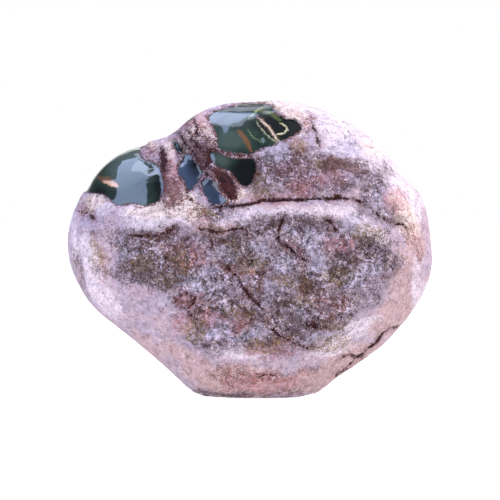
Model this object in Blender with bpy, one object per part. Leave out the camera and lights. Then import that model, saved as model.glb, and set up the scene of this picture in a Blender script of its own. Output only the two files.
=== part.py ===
"""Raw jade boulder: one weathered stone, 200 mm wide, that stands on a small flat foot.

The frame is in metres with +Z up. The broad front face looks towards -Y, and the origin lies
on the level of the foot, under the middle of the stone's box. All sizes below are in
millimetres. Places on the stone are given as (x, z), as an eye in front of it sees them
against the upright plane through its middle. Their heights start at the lowest edge in that
view, the front edge of the foot, which is seen against that plane a little below the ground.
"""

import math

import bmesh
import bpy
import numpy as np
from mathutils import Vector, noise

MM = 0.001

# Driving dimensions
FRONT_DEPTH = 57.0  # from the widest section to the front face
BACK_DEPTH = 53.0  # from the widest section to the back face
FRONT_SQUARENESS = 2.4  # 2 is an ellipse, and more makes a flatter face with tighter edges
BACK_SQUARENESS = 2.15
HEART = (2.0, 78.0)  # the point that the outline is measured from
EYE = (0.0, -1100.0, 157.0)  # where the eye is, from the middle of the foot
FOOT_DROP = 4.6  # how far below the ground the front edge of the foot is seen

# The outline seen from the front, clockwise from the left of the foot. It passes under the
# foot's level, and the cut there leaves the flat foot.
OUTLINE = (
    (-34.0, 6.0),
    (-46.0, 18.5),
    (-67.0, 35.0),
    (-87.0, 52.0),
    (-96.0, 69.0),
    (-99.0, 86.0),
    (-95.5, 104.5),
    (-84.5, 124.0),
    (-69.5, 136.5),
    (-55.0, 141.0),
    (-43.0, 145.5),
    (-33.0, 152.5),
    (-21.5, 159.0),
    (0.0, 163.0),
    (27.5, 161.5),
    (52.0, 153.0),
    (68.5, 142.0),
    (82.5, 125.5),
    (95.5, 110.0),
    (99.0, 89.0),
    (99.5, 71.0),
    (92.0, 52.0),
    (77.0, 34.0),
    (55.0, 16.0),
    (40.5, 5.0),
    (22.0, -6.5),
    (-8.0, -7.0),
    (-24.5, -1.5),
)

# Polished windows: where the rind was rubbed away, the jade lies a little lower than the rind.
LEFT_WINDOW = (
    (-89.0, 115.0),
    (-84.0, 122.0),
    (-76.0, 131.5),
    (-66.0, 141.0),
    (-55.0, 142.0),
    (-50.5, 132.0),
    (-48.5, 122.0),
    (-50.0, 113.0),
    (-55.0, 108.0),
    (-66.0, 106.5),
    (-78.0, 109.5),
)
TOP_WINDOW = (
    (-22.5, 155.0),
    (-14.0, 160.0),
    (-1.0, 162.5),
    (12.0, 161.0),
    (20.5, 156.5),
    (28.5, 150.5),
    (24.5, 144.0),
    (12.0, 141.0),
    (3.5, 136.5),
    (-8.0, 135.5),
    (-18.5, 138.5),
    (-22.0, 146.0),
)
DARK_WINDOW = (
    (-21.5, 134.5),
    (-10.0, 133.5),
    (0.5, 134.0),
    (1.5, 126.5),
    (-2.0, 119.5),
    (-8.0, 119.0),
    (-14.0, 128.0),
)
MIDDLE_WINDOW = (
    (-39.5, 135.0),
    (-33.5, 134.5),
    (-28.0, 127.0),
    (-29.0, 119.5),
    (-34.0, 116.0),
    (-39.5, 122.0),
)
LOW_WINDOW = (
    (-26.0, 120.5),
    (-18.5, 121.0),
    (-12.0, 111.5),
    (-15.0, 107.0),
    (-23.0, 108.5),
)
WINDOWS = (LEFT_WINDOW, TOP_WINDOW, DARK_WINDOW, MIDDLE_WINDOW, LOW_WINDOW)
WINDOW_DEPTH = 0.9
WINDOW_EDGE = 2.0

# The seam crosses the front below the windows. The stone above it is set back from the
# rounded shoulder below it.
SEAM = (
    (-96.0, 103.0),
    (-80.0, 107.0),
    (-66.0, 104.0),
    (-50.0, 106.5),
    (-36.0, 106.0),
    (-24.5, 104.5),
    (-5.0, 105.5),
    (7.0, 108.0),
    (34.0, 109.5),
    (47.0, 110.0),
    (57.5, 106.0),
    (73.0, 96.0),
    (86.0, 92.0),
    (98.0, 88.0),
)
SHOULDER_SETBACK = 3.4
SHOULDER_HEIGHT = 12.0
SHOULDER_FADE = 42.0

# The dirty, rough hollow that takes up the middle of the front face.
HOLLOW = (
    (-67.0, 90.0),
    (-43.0, 92.0),
    (-27.5, 90.5),
    (-12.0, 89.0),
    (-2.5, 95.0),
    (14.0, 99.5),
    (33.0, 98.0),
    (52.0, 95.5),
    (69.0, 87.0),
    (80.0, 78.0),
    (77.0, 66.0),
    (66.0, 54.0),
    (54.0, 43.0),
    (44.0, 34.0),
    (30.0, 29.0),
    (6.0, 28.0),
    (-12.0, 30.0),
    (-26.0, 37.0),
    (-37.0, 50.0),
    (-48.0, 60.0),
    (-64.0, 65.0),
    (-73.0, 74.0),
    (-74.0, 83.0),
)
HOLLOW_DEPTH = 1.9
HOLLOW_EDGE = 4.0
HOLLOW_FOOT = 30.0  # the hollow shallows out downwards, from HOLLOW_BROW to here
HOLLOW_BROW = 84.0

# Round swells (+) and hollows (-) on the front: x, z, half width, half height, rise.
FRONT_LUMPS = (
    (-56.0, 74.0, 13.0, 8.0, -2.2),  # pit at the left of the rough hollow
    (-36.0, 78.0, 9.0, 7.0, 0.9),
    (-8.0, 84.0, 9.0, 8.0, 1.1),
    (24.0, 80.0, 7.0, 6.0, -1.5),
    (40.0, 86.0, 14.0, 7.0, 1.2),
    (62.0, 76.0, 9.0, 7.0, -1.3),
    (44.0, 62.0, 15.0, 9.0, 1.5),
    (26.0, 46.0, 13.0, 9.0, -1.6),
    (-13.0, 47.0, 14.0, 9.0, 1.2),
    (-58.0, 50.0, 20.0, 14.0, 1.4),  # smooth cheek at the lower left
    (64.0, 40.0, 16.0, 18.0, 2.2),  # smooth cheek at the lower right
    (8.0, 18.0, 32.0, 12.0, 1.8),  # belly above the foot
    (46.0, 126.0, 20.0, 8.0, -2.0),  # brown scar at the upper right
    (66.0, 128.0, 13.0, 15.0, 1.8),
    (27.0, 129.0, 12.0, 9.0, 1.2),
    (-31.0, 147.0, 9.0, 8.0, 2.0),  # rind knob between the windows
    (-44.0, 128.0, 4.5, 12.0, 1.8),  # rind rib beside the left window
    (-72.0, 122.0, 15.0, 13.0, 1.6),  # domed face of the left window
    (2.0, 149.0, 20.0, 10.0, 1.8),  # domed face of the top window
    (-88.0, 80.0, 10.0, 16.0, 1.2),
)

# Round swells and hollows on the back, placed the same way.
BACK_LUMPS = (
    (-44.0, 104.0, 36.0, 26.0, 4.2),
    (46.0, 68.0, 34.0, 30.0, 3.6),
    (38.0, 122.0, 30.0, 20.0, -3.4),
    (-52.0, 52.0, 28.0, 20.0, -4.4),
    (4.0, 88.0, 16.0, 12.0, -1.8),
    (6.0, 30.0, 30.0, 16.0, 2.4),
    (-14.0, 136.0, 18.0, 11.0, -1.6),
    (-72.0, 88.0, 14.0, 16.0, 1.4),
)

# Open cracks: a line of points, then the width and the depth of the groove.
SEAM_CRACK = (
    (
        (-24.5, 105.0),
        (-5.5, 106.0),
        (7.0, 108.0),
        (22.0, 108.9),
        (34.0, 109.7),
        (47.0, 110.0),
        (57.5, 106.0),
        (73.0, 95.5),
        (84.0, 92.5),
    ),
    2.4,
    1.5,
)
FRONT_CRACKS = (
    SEAM_CRACK,
    (((80.0, 40.0), (73.0, 36.5), (64.0, 26.0), (50.0, 16.0), (33.0, 4.0)), 2.8, 1.8),
    (((-45.0, 143.5), (-38.0, 138.5), (-26.0, 127.0), (-17.0, 118.0), (-12.5, 108.0)), 3.4, 1.1),
    (((-19.0, 75.0), (-3.0, 54.0), (17.5, 35.0), (34.0, 29.5)), 2.6, 0.9),
    (((20.5, 102.0), (17.0, 90.0), (22.0, 79.0), (27.0, 74.0)), 2.8, 1.2),
)
BACK_CRACKS = (
    (((97.0, 88.0), (70.0, 96.0), (36.0, 92.0), (2.0, 72.0), (-34.0, 68.0)), 2.8, 1.6),
    (((-20.0, 158.0), (-10.0, 128.0), (-26.0, 104.0)), 2.4, 1.1),
)

# Red-brown tongue of rind that stands between the dark window and the low window.
TONGUE = ((-23.0, 130.0), (-17.0, 124.0), (-12.5, 117.0), (-12.0, 108.5))
TONGUE_WIDTH = 6.5
TONGUE_RISE = 1.6

# Slow lumpiness of the whole stone, and the coarser surface of the rough hollow.
STONE_NOISE = ((31.0, 1.5), (13.0, 0.55))  # size of a lump, then its height
ROUGH_NOISE = ((8.5, 1.0),)

TOP_LEAN_START = 96.0  # above this height the front face leans back
TOP_LEAN_RANGE = 60.0
TOP_LEAN = 9.0
SPHERE_LEVEL = 7
FACES_KEPT = 0.105  # share of the fine sphere's faces that stays in the finished stone
CUTTER_SIZE = 300.0


def soft_step(low, high, value):
    """0 below low, 1 above high and an S-curve in between."""
    share = np.clip((value - low) / (high - low), 0.0, 1.0)
    return share * share * (3.0 - 2.0 * share)


def closed_curve(points, per_span=12):
    """A smooth closed line through the points, with per_span steps from each to the next."""
    here = np.array(points, float)
    before, after, beyond = (np.roll(here, shift, axis=0) for shift in (1, -1, -2))
    step = np.linspace(0.0, 1.0, per_span, endpoint=False)[:, None, None]
    bend = 2.0 * before - 5.0 * here + 4.0 * after - beyond
    twist = 3.0 * here - before - 3.0 * after + beyond
    curve = here + 0.5 * ((after - before) * step + bend * step**2 + twist * step**3)
    return curve.transpose(1, 0, 2).reshape(-1, 2)


def line_distance(places, line):
    """The distance in the front view from each place to an open line of points."""
    nearest = np.full(len(places), np.inf)
    for start, end in zip(np.array(line[:-1], float), np.array(line[1:], float)):
        run = end - start
        share = np.clip((places - start) @ run / (run @ run), 0.0, 1.0)
        gap = places - start - share[:, None] * run
        nearest = np.minimum(nearest, np.hypot(gap[:, 0], gap[:, 1]))
    return nearest


def loop_distance(places, loop):
    """The distance to a closed loop, counted positive inside it."""
    edge = closed_curve(loop, 5)
    closed = np.vstack([edge, edge[:1]])
    inside = np.zeros(len(places), bool)
    for (x0, z0), (x1, z1) in zip(closed[:-1], closed[1:]):
        if z0 == z1:
            continue
        crossing = x0 + (places[:, 1] - z0) * (x1 - x0) / (z1 - z0)
        inside ^= ((z0 > places[:, 1]) != (z1 > places[:, 1])) & (places[:, 0] < crossing)
    return np.where(inside, 1.0, -1.0) * line_distance(places, closed)


def dome(places, lump):
    """A round rise or hollow of the given half width and half height."""
    x, z, half_width, half_height, rise = lump
    spread = ((places[:, 0] - x) / half_width) ** 2 + ((places[:, 1] - z) / half_height) ** 2
    return rise * np.exp(-spread)


def groove(places, crack):
    """A groove with rounded lips along a line."""
    line, width, depth = crack
    return -depth * np.exp(-((2.0 * line_distance(places, line) / width) ** 2))


def lumpiness(points, layers):
    """Smooth random height at each point, the same at every run."""
    height = np.zeros(len(points))
    for size, rise in layers:
        height += [rise * noise.noise(Vector(point / size)) for point in points]
    return height


def pebble(directions):
    """The plain stone: the outline, swollen forwards and backwards from its widest section."""
    outline = closed_curve(OUTLINE) - HEART
    turn = np.arctan2(outline[:, 1], outline[:, 0])
    order = np.argsort(turn)
    reach = np.hypot(outline[:, 0], outline[:, 1])[order]
    across, deep, up = directions.T
    angle = np.arctan2(up, across)
    radius = np.interp(angle, turn[order], reach, period=2.0 * math.pi)
    front = deep < 0.0
    power = 2.0 / np.where(front, FRONT_SQUARENESS, BACK_SQUARENESS)
    in_plane = np.hypot(across, up)
    radius = radius * in_plane**power
    x = HEART[0] + radius * np.cos(angle)
    z = HEART[1] + radius * np.sin(angle)
    y = np.sign(deep) * np.where(front, FRONT_DEPTH, BACK_DEPTH) * np.abs(deep) ** power
    lean = TOP_LEAN * soft_step(TOP_LEAN_START, TOP_LEAN_START + TOP_LEAN_RANGE, z)
    y += lean * soft_step(0.0, 0.6, -deep)
    return np.column_stack([x, y, z - FOOT_DROP])


def seen_places(points):
    """Where the eye sees each point against the upright plane through the middle."""
    reach = EYE[1] / (EYE[1] - points[:, 1])
    x = EYE[0] + (points[:, 0] - EYE[0]) * reach
    z = EYE[2] + (points[:, 2] - EYE[2]) * reach
    return np.column_stack([x, z + FOOT_DROP])


def broad_relief(points, places):
    """Height of the front's large forms, which die out towards the widest section."""
    height = sum(dome(places, lump) for lump in FRONT_LUMPS)
    above = places[:, 1] - np.interp(places[:, 0], *np.array(SEAM).T)
    setback = soft_step(-SHOULDER_HEIGHT, 0.0, above)
    setback *= 1.0 - 0.6 * soft_step(0.0, SHOULDER_FADE, above)
    height -= SHOULDER_SETBACK * setback
    rough = soft_step(0.0, HOLLOW_EDGE, loop_distance(places, HOLLOW))
    sunk = 0.25 + 0.75 * soft_step(HOLLOW_FOOT, HOLLOW_BROW, places[:, 1])
    height -= rough * sunk * HOLLOW_DEPTH
    return height + rough * lumpiness(points, ROUGH_NOISE)


def fine_relief(places):
    """Height of the front's cracks, tongue and windows, which may run round its edge."""
    height = sum(groove(places, crack) for crack in FRONT_CRACKS)
    height += TONGUE_RISE * np.exp(-((2.0 * line_distance(places, TONGUE) / TONGUE_WIDTH) ** 2))
    for window in WINDOWS:
        height -= WINDOW_DEPTH * soft_step(0.0, WINDOW_EDGE, loop_distance(places, window))
    return height


def back_relief(places):
    """Height of the back's own forms over the plain stone."""
    height = sum(dome(places, lump) for lump in BACK_LUMPS)
    return height + sum(groove(places, crack) for crack in BACK_CRACKS)


def point_normals(mesh):
    """The normals of a mesh's points, as an array."""
    found = np.zeros(len(mesh.vertices) * 3)
    mesh.vertex_normals.foreach_get("vector", found)
    return found.reshape(-1, 3)


def stone_mesh():
    """The whole stone as one fine closed mesh, in metres."""
    shape = bmesh.new()
    bmesh.ops.create_icosphere(shape, subdivisions=SPHERE_LEVEL, radius=1.0)
    mesh = bpy.data.meshes.new("boulder")
    shape.to_mesh(mesh)
    shape.free()
    directions = np.array([vertex.co.normalized() for vertex in mesh.vertices])
    points = pebble(directions)
    mesh.vertices.foreach_set("co", points.ravel())
    mesh.update()
    places = seen_places(points)
    facing = -directions[:, 1]
    height = soft_step(0.0, 0.36, facing) * broad_relief(points, places)
    height += soft_step(-0.12, 0.08, facing) * fine_relief(places)
    height += soft_step(0.0, 0.36, -facing) * back_relief(places)
    height += lumpiness(points, STONE_NOISE)
    points = points + height[:, None] * point_normals(mesh)
    middle = (points.min(axis=0) + points.max(axis=0)) / 2.0
    points[:, :2] -= middle[:2]
    mesh.vertices.foreach_set("co", (points * MM).ravel())
    mesh.update()
    return mesh


def rind_material():
    """Pale pink and lavender weathered rind, waxed to a soft gloss."""
    material = bpy.data.materials.new("rind")
    material.use_nodes = True
    surface = material.node_tree.nodes["Principled BSDF"]
    surface.inputs["Base Color"].default_value = (0.55, 0.44, 0.45, 1.0)
    surface.inputs["Roughness"].default_value = 0.4
    surface.inputs["Metallic"].default_value = 0.0
    return material


def ground_cutter():
    """A block under the foot's level, which cuts the foot flat."""
    bpy.ops.mesh.primitive_cube_add(size=CUTTER_SIZE * MM, location=(0.0, 0.0, -CUTTER_SIZE / 2.0 * MM))
    cutter = bpy.context.object
    cutter.name = "ground_cutter"
    cutter.hide_render = True
    cutter.display_type = "WIRE"
    return cutter


def boulder():
    """The stone: thinned to the faces that its forms need, then cut flat at the foot."""
    stone = bpy.data.objects.new("boulder", stone_mesh())
    bpy.context.collection.objects.link(stone)
    stone.data.materials.append(rind_material())
    stone.data.shade_smooth()
    thin = stone.modifiers.new("thin", "DECIMATE")
    thin.ratio = FACES_KEPT
    foot = stone.modifiers.new("foot", "BOOLEAN")
    foot.operation = "DIFFERENCE"
    foot.object = ground_cutter()
    return stone


def main():
    """Clears the scene and builds the stone."""
    for old in list(bpy.data.objects):
        bpy.data.objects.remove(old, do_unlink=True)
    boulder()


main()
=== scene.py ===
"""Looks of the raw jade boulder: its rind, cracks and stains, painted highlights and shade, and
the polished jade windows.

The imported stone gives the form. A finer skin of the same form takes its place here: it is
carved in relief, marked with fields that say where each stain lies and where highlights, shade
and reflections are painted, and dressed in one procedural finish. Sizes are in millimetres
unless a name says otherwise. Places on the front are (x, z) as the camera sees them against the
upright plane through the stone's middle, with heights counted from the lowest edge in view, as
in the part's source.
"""

import logging
import math
from dataclasses import dataclass
from enum import Enum
from typing import Protocol

import bpy
import numpy as np
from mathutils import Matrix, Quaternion, Vector, noise


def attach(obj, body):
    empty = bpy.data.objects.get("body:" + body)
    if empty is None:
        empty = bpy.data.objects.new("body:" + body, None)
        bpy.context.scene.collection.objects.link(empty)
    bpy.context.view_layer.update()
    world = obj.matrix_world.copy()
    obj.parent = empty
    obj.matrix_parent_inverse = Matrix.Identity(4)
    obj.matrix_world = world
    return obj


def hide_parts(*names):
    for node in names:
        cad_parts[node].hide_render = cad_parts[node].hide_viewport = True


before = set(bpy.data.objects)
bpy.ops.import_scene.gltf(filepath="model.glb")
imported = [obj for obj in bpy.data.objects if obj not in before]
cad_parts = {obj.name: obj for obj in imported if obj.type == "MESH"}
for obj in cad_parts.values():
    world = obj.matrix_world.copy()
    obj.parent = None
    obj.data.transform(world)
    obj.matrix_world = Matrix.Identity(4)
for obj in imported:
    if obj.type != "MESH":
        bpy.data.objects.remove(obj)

Array = np.ndarray
Place = tuple[float, float]
Triple = tuple[float, float, float]
Colour = tuple[float, float, float, float]
Socket = bpy.types.NodeSocket
Tree = bpy.types.NodeTree

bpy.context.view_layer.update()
MM = 0.001
EYE = Vector((0.0, -1100.0, 157.0))  # the camera, from the middle of the foot
FOOT_DROP = 4.6  # how far below the ground the front edge of the foot is seen
FIELD_REACH = 6.0  # fields are cut off at this distance from an edge

log = logging.getLogger("boulder")


def soft_step(low: float, high: float, value: Array) -> Array:
    """An S-curve from 0 at low to 1 at high.

    Args:
        low: Value at and below which the result is 0.
        high: Value at and above which the result is 1.
        value: The values to shape.

    Returns:
        The shaped values.
    """
    share = np.clip((value - low) / (high - low), 0.0, 1.0)
    return share * share * (3.0 - 2.0 * share)


def smooth_line(points: tuple[Place, ...], closed: bool, per_span: int = 5) -> Array:
    """A smooth line through a few points.

    Args:
        points: The points that the line passes.
        closed: Whether the line returns to its first point.
        per_span: Steps from each point to the next.

    Returns:
        The points of the finer line, one row each.
    """
    here = np.array(points, float)
    if closed:
        before, after, beyond = (np.roll(here, shift, axis=0) for shift in (1, -1, -2))
    else:
        padded = np.vstack([2.0 * here[0] - here[1], here, 2.0 * here[-1] - here[-2]])
        before, after, beyond = padded[:-3], padded[2:-1], padded[3:]
        here = here[:-1]
    step = np.linspace(0.0, 1.0, per_span, endpoint=False)[:, None, None]
    bend = 2.0 * before - 5.0 * here + 4.0 * after - beyond
    twist = 3.0 * here - before - 3.0 * after + beyond
    line = here + 0.5 * ((after - before) * step + bend * step**2 + twist * step**3)
    line = line.transpose(1, 0, 2).reshape(-1, 2)
    return np.vstack([line, line[:1] if closed else np.array(points[-1:], float)])


def line_distance(places: Array, line: Array) -> tuple[Array, Array]:
    """How far each place lies from a line.

    Args:
        places: The places, one row each.
        line: The line's points, one row each.

    Returns:
        The distances, and how far along the line the nearest point is, from 0 to 1.
    """
    nearest = np.full(len(places), np.inf)
    along = np.zeros(len(places))
    spans = len(line) - 1
    for index, (start, end) in enumerate(zip(line[:-1], line[1:])):
        run = end - start
        share = np.clip((places - start) @ run / (run @ run), 0.0, 1.0)
        gap = places - start - share[:, None] * run
        distance = np.hypot(gap[:, 0], gap[:, 1])
        closer = distance < nearest
        nearest = np.where(closer, distance, nearest)
        along = np.where(closer, (index + share) / spans, along)
    return nearest, along


def beside(places: Array, line: Array) -> Array:
    """Marks the places that lie in a line's box or within a field's reach of it."""
    low = line.min(axis=0) - FIELD_REACH
    high = line.max(axis=0) + FIELD_REACH
    return np.all((places > low) & (places < high), axis=1)


class Shape(Protocol):
    """Anything that can be drawn on the front of the stone."""

    def inside(self, places: Array) -> Array:
        """How far each place lies inside the shape, negative outside it."""


@dataclass(frozen=True)
class Spot:
    """A round or oval patch, turned anticlockwise by some degrees."""

    x: float
    z: float
    half_width: float
    half_height: float
    turn: float = 0.0

    def inside(self, places: Array) -> Array:
        """How far each place lies inside the patch, negative outside it.

        Args:
            places: The places, one row each.

        Returns:
            The depths inside the patch.
        """
        angle = math.radians(self.turn)
        across, up = (places - (self.x, self.z)).T
        along = across * math.cos(angle) + up * math.sin(angle)
        aside = up * math.cos(angle) - across * math.sin(angle)
        share = np.hypot(along / self.half_width, aside / self.half_height)
        return (1.0 - share) * math.sqrt(self.half_width * self.half_height)

    def dome(self, places: Array) -> Array:
        """A round swell over the patch: 1 in its middle and near 0 beyond its edge."""
        share = 1.0 - self.inside(places) / math.sqrt(self.half_width * self.half_height)
        return np.exp(-1.4 * share**2)


@dataclass(frozen=True)
class Trail:
    """A streak along a smooth line, thinner towards its ends."""

    line: tuple[Place, ...]
    width: float

    def inside(self, places: Array) -> Array:
        """How far each place lies inside the streak, negative outside it.

        Args:
            places: The places, one row each.

        Returns:
            The depths inside the streak.
        """
        line = smooth_line(self.line, closed=False)
        depth = np.full(len(places), -FIELD_REACH)
        near = beside(places, line)
        distance, along = line_distance(places[near], line)
        taper = 0.35 + 0.65 * np.sin(math.pi * along) ** 0.5
        depth[near] = self.width / 2.0 * taper - distance
        return depth


@dataclass(frozen=True)
class Loop:
    """A patch inside a smooth closed outline."""

    outline: tuple[Place, ...]

    def inside(self, places: Array) -> Array:
        """How far each place lies inside the outline, negative outside it.

        Args:
            places: The places, one row each.

        Returns:
            The depths inside the outline.
        """
        edge = smooth_line(self.outline, closed=True)
        depth = np.full(len(places), -FIELD_REACH)
        near = beside(places, edge)
        close = places[near]
        within = np.zeros(len(close), bool)
        for (x0, z0), (x1, z1) in zip(edge[:-1], edge[1:]):
            if z0 == z1:
                continue
            crossing = x0 + (close[:, 1] - z0) * (x1 - x0) / (z1 - z0)
            within ^= ((z0 > close[:, 1]) != (z1 > close[:, 1])) & (close[:, 0] < crossing)
        depth[near] = np.where(within, 1.0, -1.0) * line_distance(close, edge)[0]
        return depth


@dataclass(frozen=True)
class Crack:
    """An open crack along a line, with its width and depth."""

    line: tuple[Place, ...]
    width: float
    depth: float


def field(shapes: tuple[Shape, ...], places: Array) -> Array:
    """How far each place lies inside the nearest of several shapes.

    Args:
        shapes: The shapes to join.
        places: The places, one row each.

    Returns:
        The depths, negative outside all shapes and cut off at the fields' reach.
    """
    depth = np.full(len(places), -FIELD_REACH)
    for shape in shapes:
        depth = np.maximum(depth, shape.inside(places))
    return np.clip(depth, -FIELD_REACH, FIELD_REACH)


def spots(*rows: tuple[float, ...]) -> tuple[Spot, ...]:
    """Patches, each from its middle, its half width and height, and its turn if it has one."""
    return tuple(Spot(*row) for row in rows)


class Stain(Enum):
    """Kinds of colour on the stone, some of them painted light. Each value names the skin's
    attribute that marks it.
    """

    SALMON = "salmon"
    PALE_AND_HIGHLIGHT = "pale"
    CREAM = "cream"
    DIRT = "dirt"
    ASH = "ash"
    PINK = "pink"
    BROWN = "brown"
    OCHRE = "ochre"
    RUST = "rust"
    DARK = "dark"
    MAROON = "maroon"
    JADE = "jade"
    MILK_AND_SHEEN = "milk_and_sheen"
    SLATE_REFLECTION = "slate_reflection"
    INK = "ink"


# Polished windows, where the rind was rubbed through to the jade
LEFT_WINDOW = Loop((
    (-59, 143.5), (-68, 142.5), (-78, 135.5), (-86, 127.5), (-92, 119), (-90, 113.8),
    (-84.5, 112.8), (-79.5, 111.6), (-76, 109), (-72, 106.6), (-64, 107.4), (-58, 106.2),
    (-50.5, 108.5), (-47.8, 114), (-47.8, 121), (-50, 127.5), (-53.5, 129.5), (-58.5, 131.5),
    (-60.5, 136), (-57.5, 140.5),
))
TOP_WINDOW = Loop((
    (-21.9, 155.4), (-13.9, 158.9), (-4.1, 161.3), (3.8, 161.6), (10.4, 160.8), (12.1, 159.5),
    (14.5, 155.6), (18.9, 153.6), (24.7, 152.2), (28.2, 148.3), (24.7, 144.9), (20.3, 142.5),
    (15.9, 140.9), (10.4, 138.1), (5.5, 137), (0.8, 134.6), (-4.1, 134.6), (-9, 135),
    (-13.9, 135.8), (-17.3, 137.4), (-17.8, 141.9), (-18.8, 145.8), (-20.3, 149.8),
    (-22.4, 153.2),
))
DARK_WINDOW = Loop((
    (-22.2, 135.6), (-17.3, 134.6), (-11, 132.1), (-4.1, 131.6), (0.3, 132.1), (2.7, 130.2),
    (3.2, 126.2), (2.2, 121.4), (0.3, 117.9), (-2.7, 116.7), (-5.1, 117.9), (-7.1, 120),
    (-9, 122.4), (-11, 124.4), (-13.9, 125.8), (-17.8, 127.2), (-20.3, 130.2), (-21.7, 133.2),
))
MIDDLE_WINDOW = Loop((
    (-35.5, 133.5), (-32.7, 133.5), (-29.9, 130.1), (-26.4, 125.9), (-27.1, 122.4),
    (-29.9, 117.5), (-32, 114.7), (-34.5, 115.4), (-36.2, 119.6), (-39, 123.1), (-39, 126.6),
    (-36.9, 130.1),
))
LOW_WINDOW = Loop((
    (-25.8, 119.6), (-19.5, 119.6), (-17.3, 115.4), (-15.6, 111.2), (-13.2, 108.6),
    (-15.9, 106.8), (-20.8, 106.8), (-23.6, 110.5), (-25.4, 114.7),
))
SLIT = Trail(((-41, 141), (-40, 138), (-37.5, 135)), 3)
# Where the left window rolls off to the right
WINDOW_FALL = ((-57, 140), (-52.5, 131), (-49, 124), (-48.5, 116), (-50.5, 106))
WINDOWS = (LEFT_WINDOW, TOP_WINDOW, DARK_WINDOW, MIDDLE_WINDOW, LOW_WINDOW)

HOLLOW = Loop((
    (-65, 90), (-43, 92), (-27.5, 90.5), (-12, 89), (-2.5, 95), (14, 99.5), (33, 98), (52, 95.5),
    (69, 87), (80, 78), (77, 66), (66, 54), (54, 43), (44, 34), (30, 29), (6, 28), (-12, 30),
    (-26, 37), (-37, 50), (-48, 60), (-62, 65), (-69, 73), (-70, 83),
))
BAND = Loop((
    (-40.1, 145), (-35.9, 140), (-30.1, 131.8), (-25.1, 123.5), (-18.5, 118), (-13.5, 110.2),
    (-8.6, 108.6), (-6.6, 113), (-10.2, 120.2), (-16.9, 124.3), (-21.9, 129.3), (-22.7, 135.1),
    (-26.8, 138), (-31, 142.2), (-35.1, 146.5),
))
TONGUE = Loop((
    (-20, 126.5), (-15.9, 125.8), (-12.1, 123.8), (-9, 120.4), (-7.1, 115.6), (-6.6, 111.2),
    (-9, 108.3), (-12.1, 110.1), (-14.4, 112.5), (-16.8, 117.5),
))

SEAM = Crack((
    (-19.5, 105.2), (-14.8, 105.8), (-7.1, 105.8), (-1.1, 106.2), (3.8, 107.7), (9.9, 109),
    (24.7, 109), (37.3, 109.6), (46, 109.8), (51, 110.4), (57, 109.2),
), 1.5, 1.2)
CRACKS = (
    SEAM,
    Crack((
        (55, 109.8), (61.8, 107.2), (66.3, 104), (70.4, 100.6), (75.1, 97.6), (78.9, 95.4),
        (82.2, 95.9), (86.5, 93.6),
    ), 0.6, 0.5),
    Crack((
        (80.8, 39.5), (76.6, 38.2), (73.3, 36.1), (69, 30.7), (66.1, 28.1), (59.2, 22.5),
        (53.2, 16.8), (47, 12),
    ), 0.9, 1),
    Crack(((48.9, 21.8), (52.6, 23), (56.4, 23.6), (58.1, 21), (62, 22.6)), 1, 0.7),
    Crack(((-32, 52), (-33.5, 47.5), (-30, 43), (-29, 38)), 0.5, 0.4),
    Crack(((-41.5, 53), (-35.5, 57.5), (-30.5, 56), (-31.8, 51)), 0.5, 0.4),
    Crack(((-64, 89.6), (-56, 89.2), (-48.8, 90.1), (-44.6, 92.1), (-40.6, 95.1)), 1.2, 0.8),
    Crack((
        (-27, 93.5), (-20.5, 92.3), (-15.7, 91.5), (-9.3, 92.7), (-3.6, 92.7), (-0.4, 87.8),
    ), 1, 0.7),
    Crack((
        (19.6, 101.5), (16.2, 95.6), (15.8, 88.9), (17, 84.7), (22.9, 82.2), (27.1, 78),
        (30.5, 76.3),
    ), 1.2, 0.9),
    Crack(((38, 101.1), (44.7, 95.6), (46.4, 92.3)), 1.2, 0.7),
    Crack((
        (-15.4, 74.4), (-11.8, 71.3), (-7.5, 67.9), (-4.6, 62.9), (-1.7, 58.6), (4, 52),
        (9.8, 45.6),
    ), 0.9, 0.8),
    Crack(((9.1, 70.8), (5.5, 65), (5.8, 54.2)), 0.7, 0.5),
    Crack(((-21.5, 91.5), (-20.8, 86.5), (-21.6, 82)), 0.6, 0.4),
    Crack(((10.4, 41.9), (15.3, 35.2), (22.9, 31), (32, 27.5)), 1, 0.6),
    Crack(((-40.8, 141), (-40, 138.1), (-37.8, 135)), 1.8, 1.4),
    Crack(((33, 152), (35.5, 146), (38, 138)), 0.4, 0.3),
    Crack(((-34.5, 115), (-34, 111.5), (-31, 107.5)), 0.8, 0.6),
    Crack(((-93.5, 103), (-88, 101), (-84, 97.5)), 0.6, 0.4),
    Crack(((4, 11.5), (9, 12.5), (14, 13)), 0.8, 0.5),
)
GULLY = Crack((
    (-44.9, 143), (-40.5, 139), (-36.2, 135.3), (-29.6, 129.3), (-24.1, 123.3), (-19.7, 117.8),
    (-15.3, 111.2), (-11, 107.4),
), 2.6, 1)

# Round swells (+) and hollows (-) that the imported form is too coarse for, with their rise
SWELLS = (
    (Spot(-31, 147, 7, 9), 1.2), (Spot(-44, 124, 4.5, 13), 0.9),
    (Spot(-12.5, 115.5, 3.2, 8.5, 22), 1.3), (Spot(-26.5, 130, 2.6, 9, 42), 0.9),
    (Spot(-24.5, 139, 4.5, 6), 0.8), (Spot(-50, 101, 20, 4), 0.9),
    (Spot(25, 104.8, 34, 3.2), 0.8), (Spot(55, 127, 9, 2.5), -0.6),
    (Spot(-55.5, 79.5, 3.2, 2.6), 0.7), (Spot(-61, 72.5, 8, 4), -0.6),
    (Spot(22, 90.5, 3.6, 4), 0.6), (Spot(4.5, 82, 6, 5), 0.5),
    (Spot(-78, 118.6, 5, 2.2, -20), 0.7), (Spot(-28.5, 126.5, 4.5, 8), -2.4),
    (Spot(-17.8, 113, 4.5, 6, 20), -1.6), (Spot(-22.5, 130.5, 2, 4.5), -1.4),
    (Spot(-38.6, 138, 1.8, 3, 20), -1.6),
)

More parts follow.
